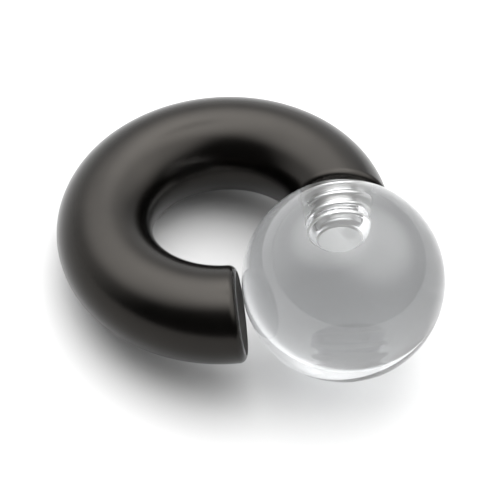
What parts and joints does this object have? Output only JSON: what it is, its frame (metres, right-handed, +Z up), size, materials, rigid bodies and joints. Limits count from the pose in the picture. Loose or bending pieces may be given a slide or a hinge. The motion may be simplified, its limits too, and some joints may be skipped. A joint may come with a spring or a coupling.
{
  "type": "ball closure ring",
  "caption": "Open ring of heavy round bar with a satin dark coat, its gap closed by a clear ball that screws onto one end of the bar.",
  "frame": {"origin": "on the table, under the middle of the assembly as it lies at rest on the ball and on the far side of the bar", "axes": "+Z up from the table, +X from the ring's middle towards the ball along the table, +Y towards the bar end that the ball screws to"},
  "size_m": [0.042, 0.035, 0.0208],
  "materials": {
    "dark_coat": "steel with a satin, warm dark grey hard coat",
    "bright_steel": "bright turned steel",
    "clear_acrylic": "polished clear acrylic"
  },
  "bodies": {
    "ring": {"ring": "dark_coat"},
    "stud": {"threaded_stud": "bright_steel"},
    "ball": {"ball": "clear_acrylic"}
  },
  "joints": [
    {"name": "ball_travel", "type": "slide", "parent": "ring", "child": "stud", "axis": [0.5761, -0.809, 0.1167], "range_m": [0, 0.0056]},
    {"name": "ball_turn", "type": "hinge", "parent": "stud", "child": "ball", "pos_m": [0.01063, 0, 0.0104], "axis": [0.5761, -0.809, 0.1167], "range_deg": [0, 2880]}
  ],
  "couplings": [
    {"joint": "ball_turn", "follows": "ball_travel", "rad_per_m": 8975.9}
  ]
}
